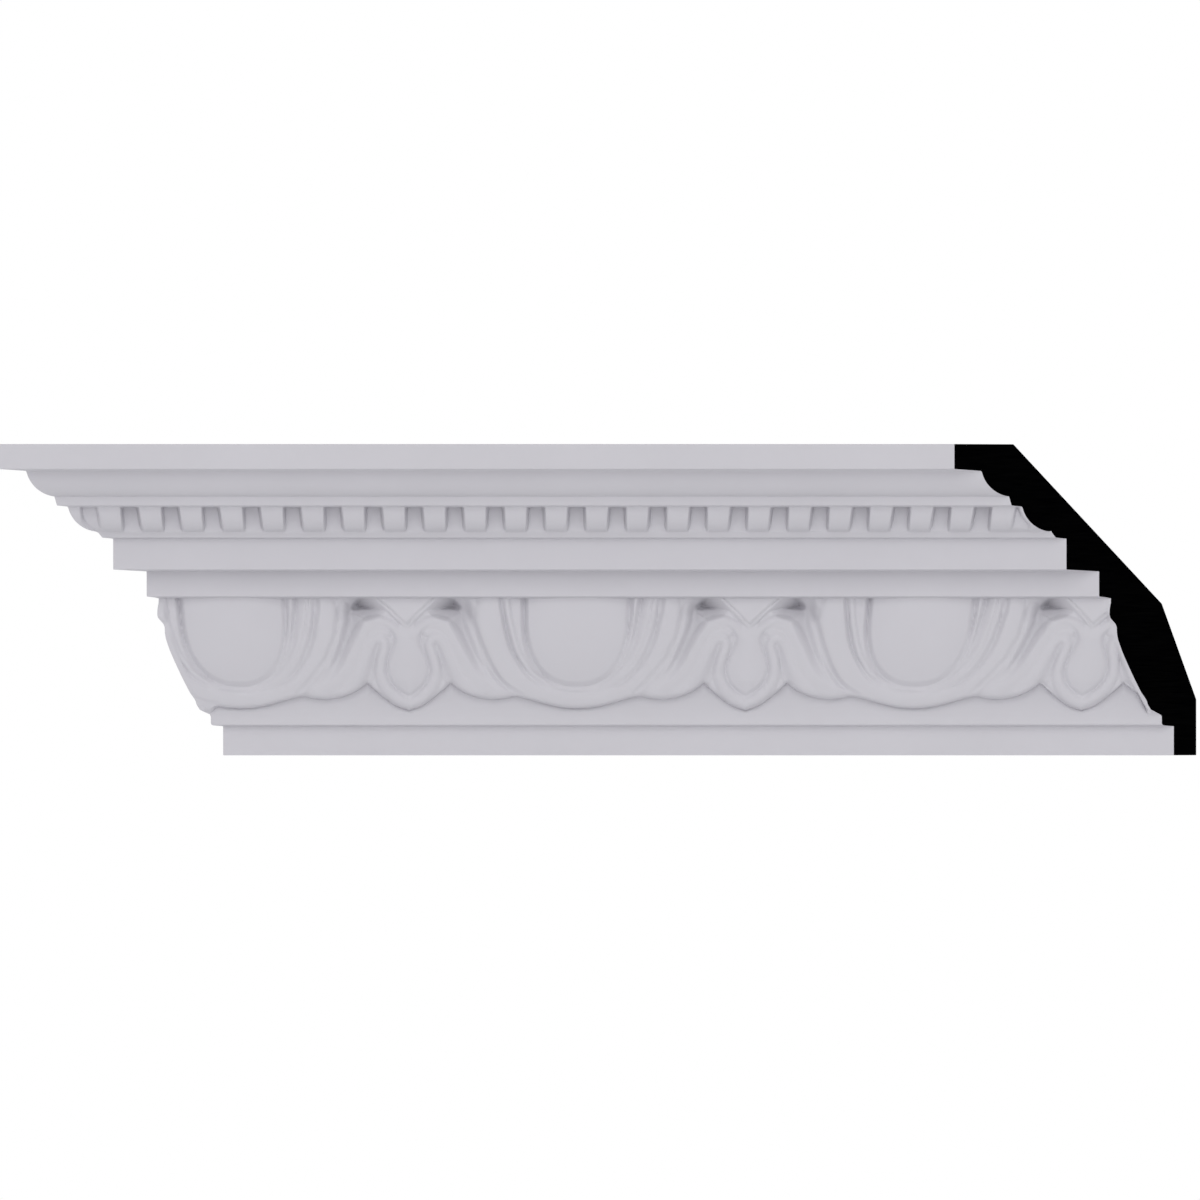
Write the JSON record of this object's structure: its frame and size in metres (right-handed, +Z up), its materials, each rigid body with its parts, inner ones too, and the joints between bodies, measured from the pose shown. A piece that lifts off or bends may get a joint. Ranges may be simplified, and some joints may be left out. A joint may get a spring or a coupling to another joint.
{
  "type": "cornice moulding length",
  "caption": "Straight crown cornice length with fascias, quarter rounds, a dentil course and an egg-and-dart course, mitre-cut at both ends.",
  "frame": {"origin": "middle of the flat face that meets the wall", "axes": "+X along the length towards the end whose cut face shows from the front, +Y into the wall, +Z up to the ceiling"},
  "size_m": [0.5989, 0.1223, 0.1556],
  "materials": {
    "primed_foam": "smooth matte white primer"
  },
  "bodies": {
    "root": {"cornice_length": "primed_foam"}
  },
  "joints": []
}
